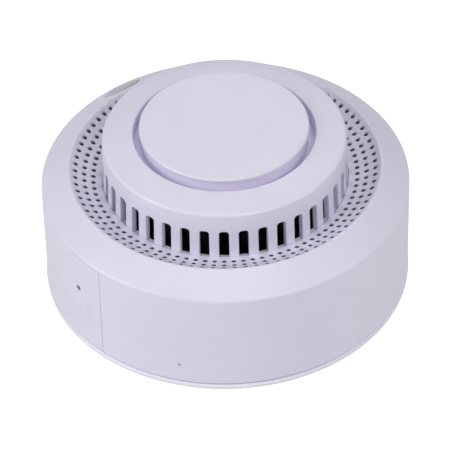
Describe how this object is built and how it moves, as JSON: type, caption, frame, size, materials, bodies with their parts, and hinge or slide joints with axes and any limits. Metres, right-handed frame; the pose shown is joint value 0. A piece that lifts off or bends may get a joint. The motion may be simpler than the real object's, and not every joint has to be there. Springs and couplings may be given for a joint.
{
  "type": "smoke detector",
  "caption": "Round ceiling smoke detector with a slotted smoke inlet cap, perforated sound ring, large test button, side battery drawer and twist-off mounting bracket.",
  "frame": {"origin": "centre of the mounting bracket's back face, the face that meets the ceiling", "axes": "+Z out of the ceiling towards the test button, -Y the front, the battery drawer opens to the left front at 60 degrees from -Y towards -X"},
  "size_m": [0.1012, 0.1012, 0.0498],
  "materials": {
    "shell_white": "satin moulded ABS, faint lavender white",
    "bracket_white": "satin moulded ABS",
    "window_grey": "smoked translucent polycarbonate",
    "light_guide": "translucent milky polycarbonate with a lavender tint",
    "chamber_black": "light-trapping black plastic",
    "screen_black": "blackened steel mesh",
    "board_green": "glass-epoxy board with green solder mask",
    "board_white": "glass-epoxy board with white solder mask",
    "chip_black": "moulded epoxy",
    "shield_steel": "tinned steel",
    "screw_steel": "zinc-plated steel",
    "spring_steel": "bright spring wire",
    "contact_nickel": "nickel-plated steel",
    "cell_wrap": "plain printed-free battery sleeve",
    "capacitor_sleeve": "shrink sleeve",
    "ferrite": "ferrite",
    "siren_black": "moulded resonator",
    "piezo_brass": "rolled brass",
    "piezo_ceramic": "silvered ceramic",
    "led_clear": "clear epoxy lamp",
    "led_dark": "infrared-pass epoxy",
    "cable_black": "flat ribbon",
    "switch_black": "switch case",
    "plunger_white": "switch plunger"
  },
  "bodies": {
    "mounting_bracket": {"mounting_bracket": "bracket_white"},
    "detector": {"rear_cover": "bracket_white", "housing_screws": "screw_steel", "outer_housing": "shell_white", "bay_contacts": "contact_nickel", "main_board": "board_green", "board_screws": "screw_steel", "wireless_module": "shield_steel", "microcontroller": "chip_black", "capacitor": "capacitor_sleeve", "inductor": "ferrite", "status_led": "led_clear", "indicator_lens": "window_grey", "siren_base": "siren_black", "siren_cover": "siren_black", "piezo_plate": "piezo_brass", "piezo_element": "piezo_ceramic", "siren_pins": "contact_nickel", "chamber_base": "chamber_black", "chamber_labyrinth": "chamber_black", "insect_screen": "screen_black", "infrared_led": "led_clear", "photodiode": "led_dark", "sensor_cap": "shell_white", "led_board": "board_white", "led_board_screws": "screw_steel", "ring_leds": "led_clear", "switch_body": "switch_black", "button_spring": "spring_steel", "led_cable": "cable_black"},
    "battery_drawer": {"battery_drawer": "shell_white", "battery_cells": "cell_wrap", "battery_springs": "spring_steel", "battery_plates": "contact_nickel"},
    "test_button": {"button_disc": "shell_white", "light_ring": "light_guide"},
    "switch_plunger": {"switch_plunger": "plunger_white"}
  },
  "joints": [
    {"name": "bracket_twist", "type": "hinge", "parent": "mounting_bracket", "child": "detector", "pos_m": [0, 0, 0.004], "axis": [0, 0, 1], "range_deg": [0, 20]},
    {"name": "drawer_slide", "type": "slide", "parent": "detector", "child": "battery_drawer", "axis": [-0.866, -0.5, 0], "range_m": [0, 0.048]},
    {"name": "button_press", "type": "slide", "parent": "detector", "child": "test_button", "axis": [0, 0, -1], "range_m": [0, 0.0005], "deforming": ["button_spring"]},
    {"name": "plunger_press", "type": "slide", "parent": "detector", "child": "switch_plunger", "axis": [0, 0, -1], "range_m": [0, 0.0005]}
  ],
  "couplings": [
    {"joint": "plunger_press", "follows": "button_press", "ratio": 1}
  ]
}
